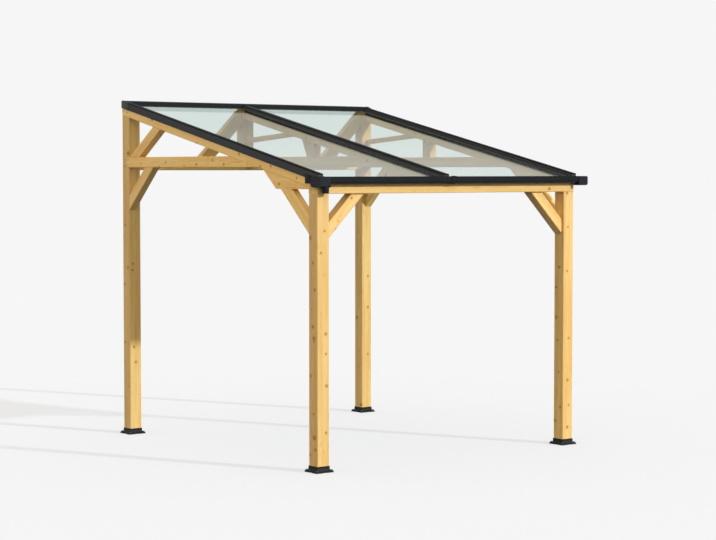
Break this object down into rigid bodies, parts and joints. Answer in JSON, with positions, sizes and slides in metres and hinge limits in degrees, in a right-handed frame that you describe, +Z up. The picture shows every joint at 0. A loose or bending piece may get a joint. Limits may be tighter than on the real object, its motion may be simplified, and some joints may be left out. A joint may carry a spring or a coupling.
{
  "type": "lean-to carport",
  "caption": "Lean-to timber carport with a sloping glass roof on braced square posts with flared shoes, for a place at a house wall.",
  "frame": {"origin": "on the floor, at the middle of the footprint of the whole object, gutter included", "axes": "+X along the wall to the right, +Y towards the house wall, +Z up"},
  "size_m": [2.8945, 3.1005, 3.026],
  "materials": {
    "timber": "planed spruce, clear oil",
    "frame_metal": "anthracite powder coat, satin",
    "shoe_iron": "black coat, satin",
    "glass": "clear float glass, slight green tint"
  },
  "bodies": {
    "root": {"front_left_shoe": "shoe_iron", "front_right_shoe": "shoe_iron", "rear_left_shoe": "shoe_iron", "rear_right_shoe": "shoe_iron", "front_left_post": "timber", "front_right_post": "timber", "rear_left_post": "timber", "rear_right_post": "timber", "front_beam": "timber", "rear_beam": "timber", "middle_king_post": "timber", "left_rafter": "timber", "middle_rafter": "timber", "right_rafter": "timber", "left_tie": "timber", "middle_tie": "timber", "right_tie": "timber", "left_saddle": "timber", "middle_saddle": "timber", "right_saddle": "timber", "left_front_knee": "timber", "right_front_knee": "timber", "left_rear_knee": "timber", "right_rear_knee": "timber", "left_rafter_brace": "timber", "front_left_brace": "timber", "front_right_brace": "timber", "middle_wall_brace": "timber", "right_wall_brace": "timber", "middle_collar": "timber", "right_collar": "timber", "middle_strut": "timber", "right_strut": "timber", "left_glass": "glass", "right_glass": "glass", "left_edge_profile": "frame_metal", "middle_glazing_bar": "frame_metal", "right_edge_profile": "frame_metal", "wall_profile": "frame_metal", "gutter": "frame_metal", "gutter_left_cap": "frame_metal", "gutter_right_cap": "frame_metal", "gutter_joint": "frame_metal", "gutter_outlet": "frame_metal"}
  },
  "joints": []
}
